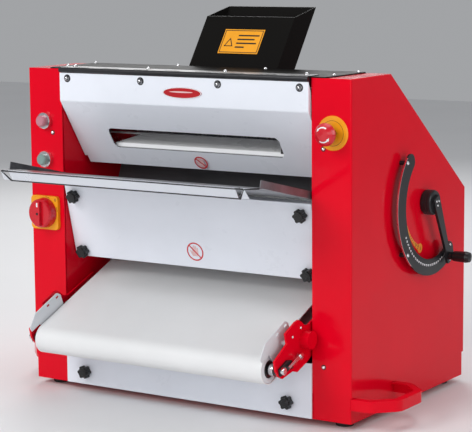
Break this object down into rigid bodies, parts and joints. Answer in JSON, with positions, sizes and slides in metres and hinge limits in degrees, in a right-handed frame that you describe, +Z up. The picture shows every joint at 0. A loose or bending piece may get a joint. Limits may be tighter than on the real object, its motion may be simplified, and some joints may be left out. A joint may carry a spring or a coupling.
{
  "type": "dough sheeter",
  "caption": "Bench-top dough sheeter with two pairs of geared rollers, a feed chute, a sloping tray, a thickness lever and an outfeed belt between two housings.",
  "frame": {"origin": "on the floor, under the middle of the bounding box", "axes": "+X to the operator's right (gap lever side), +Y to the back of the machine, +Z up"},
  "size_m": [0.85, 0.654, 0.7189],
  "materials": {
    "red_paint": "gloss",
    "white_paint": "gloss",
    "black_paint": "satin",
    "dark_steel": "satin",
    "stainless": "polished",
    "dough_plate": "satin",
    "machined_steel": "machined",
    "screws": "polished",
    "roller_steel": "fine ground",
    "guide_sheet": "satin",
    "motor_paint": "satin",
    "grey_box": "matt",
    "foot_rubber": "matt",
    "gland_plastic": "matt",
    "belt_white": "woven",
    "black_plastic": "satin",
    "yellow_plastic": "satin",
    "red_plastic": "satin",
    "start_lens": "frosted",
    "stop_lens": "frosted",
    "badge_red": "gloss",
    "scale_orange": "printed"
  },
  "bodies": {
    "housing": {"base_front_panel": "white_paint", "base_pan": "red_paint", "bearings_and_rails": "machined_steel", "belt_bed": "roller_steel", "belt_brackets": "red_paint", "belt_side_guides": "guide_sheet", "button_bezels": "screws", "cable_gland": "gland_plastic", "carry_handles": "red_paint", "catch_tray": "stainless", "chute_plate": "yellow_plastic", "control_box": "grey_box", "control_plates": "yellow_plastic", "conveyor_belt": "belt_white", "drive_chains": "machined_steel", "exit_plate": "dough_plate", "feed_chute": "black_paint", "frame_members": "machined_steel", "frame_plates": "red_paint", "gap_scale": "scale_orange", "gear_motor": "motor_paint", "hinge_fixed_leaf": "dark_steel", "housing_screws": "screws", "lower_front_panel": "white_paint", "nose_axle": "dark_steel", "quadrant_plate": "dark_steel", "rear_cover": "red_paint", "rubber_feet": "foot_rubber", "side_cover_left": "red_paint", "side_cover_right": "red_paint", "top_plate": "black_paint"},
    "guard": {"upper_guard": "white_paint", "hinge_moving_leaf": "dark_steel", "guard_badge": "badge_red"},
    "gap_lever": {"gap_shaft": "machined_steel", "lever_hub": "dark_steel", "lever_arm": "dark_steel"},
    "index_pin": {"index_grip": "black_plastic"},
    "upper_carriage": {"upper_bearing_blocks": "machined_steel"},
    "lower_carriage": {"lower_bearing_blocks": "machined_steel"},
    "upper_front_line": {"upper_front_roller": "roller_steel", "upper_front_wheels": "machined_steel"},
    "upper_rear_line": {"upper_rear_roller": "roller_steel"},
    "lower_front_line": {"lower_front_roller": "roller_steel", "lower_front_wheels": "machined_steel"},
    "lower_rear_line": {"lower_rear_roller": "roller_steel"},
    "belt_drive_line": {"belt_drive_roller": "roller_steel"},
    "nose_line": {"nose_roller": "roller_steel"},
    "motor_line": {"motor_shaft": "machined_steel"},
    "start": {"start_button": "start_lens"},
    "stop": {"stop_button": "stop_lens"},
    "main_switch": {"main_switch_knob": "red_plastic"},
    "emergency_stem": {"emergency_stop_stem": "black_plastic"},
    "emergency_head": {"emergency_stop_head": "red_plastic"},
    "panel_knob_upper_left_body": {"panel_knob_upper_left": "black_plastic"},
    "panel_knob_lower_left_body": {"panel_knob_lower_left": "black_plastic"},
    "panel_knob_upper_right_body": {"panel_knob_upper_right": "black_plastic"},
    "panel_knob_lower_right_body": {"panel_knob_lower_right": "black_plastic"},
    "base_knob_left_body": {"base_knob_left": "black_plastic"},
    "base_knob_right_body": {"base_knob_right": "black_plastic"}
  },
  "joints": [
    {"name": "guard_hinge", "type": "hinge", "parent": "housing", "child": "guard", "pos_m": [0, -0.137, 0.6095], "axis": [-1, 0, 0], "range_deg": [0, 100]},
    {"name": "lever_swing", "type": "hinge", "parent": "housing", "child": "gap_lever", "pos_m": [0, 0.143, 0.369], "axis": [-1, 0, 0], "range_deg": [0, 88]},
    {"name": "index_pull", "type": "slide", "parent": "gap_lever", "child": "index_pin", "axis": [1, 0, 0], "range_m": [0, 0.006], "stiffness_N_per_m": 600},
    {"name": "upper_gap_slide", "type": "slide", "parent": "housing", "child": "upper_carriage", "axis": [0, 0.766, -0.6428], "range_m": [0, 0.005]},
    {"name": "lower_gap_slide", "type": "slide", "parent": "housing", "child": "lower_carriage", "axis": [0, 0.9659, 0.2588], "range_m": [0, 0.005]},
    {"name": "lower_front_spin", "type": "hinge", "parent": "housing", "child": "lower_front_line", "pos_m": [0, -0.046, 0.327], "axis": [1, 0, 0], "continuous": true},
    {"name": "upper_front_spin", "type": "hinge", "parent": "housing", "child": "upper_front_line", "pos_m": [0, -0.031, 0.547], "axis": [1, 0, 0], "continuous": true},
    {"name": "upper_rear_spin", "type": "hinge", "parent": "upper_carriage", "child": "upper_rear_line", "pos_m": [0, 0.02798, 0.4975], "axis": [1, 0, 0], "continuous": true},
    {"name": "lower_rear_spin", "type": "hinge", "parent": "lower_carriage", "child": "lower_rear_line", "pos_m": [0, 0.02838, 0.34693], "axis": [1, 0, 0], "continuous": true},
    {"name": "belt_drive_spin", "type": "hinge", "parent": "housing", "child": "belt_drive_line", "pos_m": [0, 0.02307, 0.22424], "axis": [1, 0, 0], "continuous": true},
    {"name": "nose_spin", "type": "hinge", "parent": "housing", "child": "nose_line", "pos_m": [0, -0.231, 0.119], "axis": [1, 0, 0], "continuous": true},
    {"name": "motor_spin", "type": "hinge", "parent": "housing", "child": "motor_line", "pos_m": [0, 0.169, 0.124], "axis": [1, 0, 0], "continuous": true},
    {"name": "panel_knob_upper_left_turn", "type": "hinge", "parent": "housing", "child": "panel_knob_upper_left_body", "pos_m": [-0.249, -0.12611, 0.37258], "axis": [0, -0.9725, -0.2327], "continuous": true},
    {"name": "panel_knob_lower_left_turn", "type": "hinge", "parent": "housing", "child": "panel_knob_lower_left_body", "pos_m": [-0.249, -0.10028, 0.26462], "axis": [0, -0.9725, -0.2327], "continuous": true},
    {"name": "panel_knob_upper_right_turn", "type": "hinge", "parent": "housing", "child": "panel_knob_upper_right_body", "pos_m": [0.249, -0.12611, 0.37258], "axis": [0, -0.9725, -0.2327], "continuous": true},
    {"name": "panel_knob_lower_right_turn", "type": "hinge", "parent": "housing", "child": "panel_knob_lower_right_body", "pos_m": [0.249, -0.10028, 0.26462], "axis": [0, -0.9725, -0.2327], "continuous": true},
    {"name": "base_knob_left_turn", "type": "hinge", "parent": "housing", "child": "base_knob_left_body", "pos_m": [-0.224, -0.134, 0.038], "axis": [0, -1, 0], "continuous": true},
    {"name": "base_knob_right_turn", "type": "hinge", "parent": "housing", "child": "base_knob_right_body", "pos_m": [0.224, -0.134, 0.038], "axis": [0, -1, 0], "continuous": true},
    {"name": "start_press", "type": "slide", "parent": "housing", "child": "start", "axis": [0, 1, 0], "range_m": [0, 0.004], "stiffness_N_per_m": 500},
    {"name": "stop_press", "type": "slide", "parent": "housing", "child": "stop", "axis": [0, 1, 0], "range_m": [0, 0.004], "stiffness_N_per_m": 500},
    {"name": "main_switch_turn", "type": "hinge", "parent": "housing", "child": "main_switch", "pos_m": [-0.314, -0.131, 0.337], "axis": [0, 1, 0], "range_deg": [0, 90]},
    {"name": "emergency_stop_press", "type": "slide", "parent": "housing", "child": "emergency_stem", "axis": [0, 1, 0], "range_m": [0, 0.006]},
    {"name": "emergency_stop_twist", "type": "hinge", "parent": "emergency_stem", "child": "emergency_head", "pos_m": [0.314, -0.131, 0.518], "axis": [0, 1, 0], "range_deg": [0, 30], "stiffness_Nm_per_rad": 0.3}
  ],
  "couplings": [
    {"joint": "lever_swing", "follows": "upper_gap_slide", "rad_per_m": 307.18},
    {"joint": "lower_gap_slide", "follows": "upper_gap_slide", "ratio": 1},
    {"joint": "upper_front_spin", "follows": "lower_front_spin", "ratio": 1},
    {"joint": "upper_rear_spin", "follows": "lower_front_spin", "ratio": -1},
    {"joint": "lower_rear_spin", "follows": "lower_front_spin", "ratio": -1},
    {"joint": "belt_drive_spin", "follows": "lower_front_spin", "ratio": -1.3333},
    {"joint": "nose_spin", "follows": "lower_front_spin", "ratio": -1.3333},
    {"joint": "motor_spin", "follows": "lower_front_spin", "ratio": 1.3333}
  ]
}
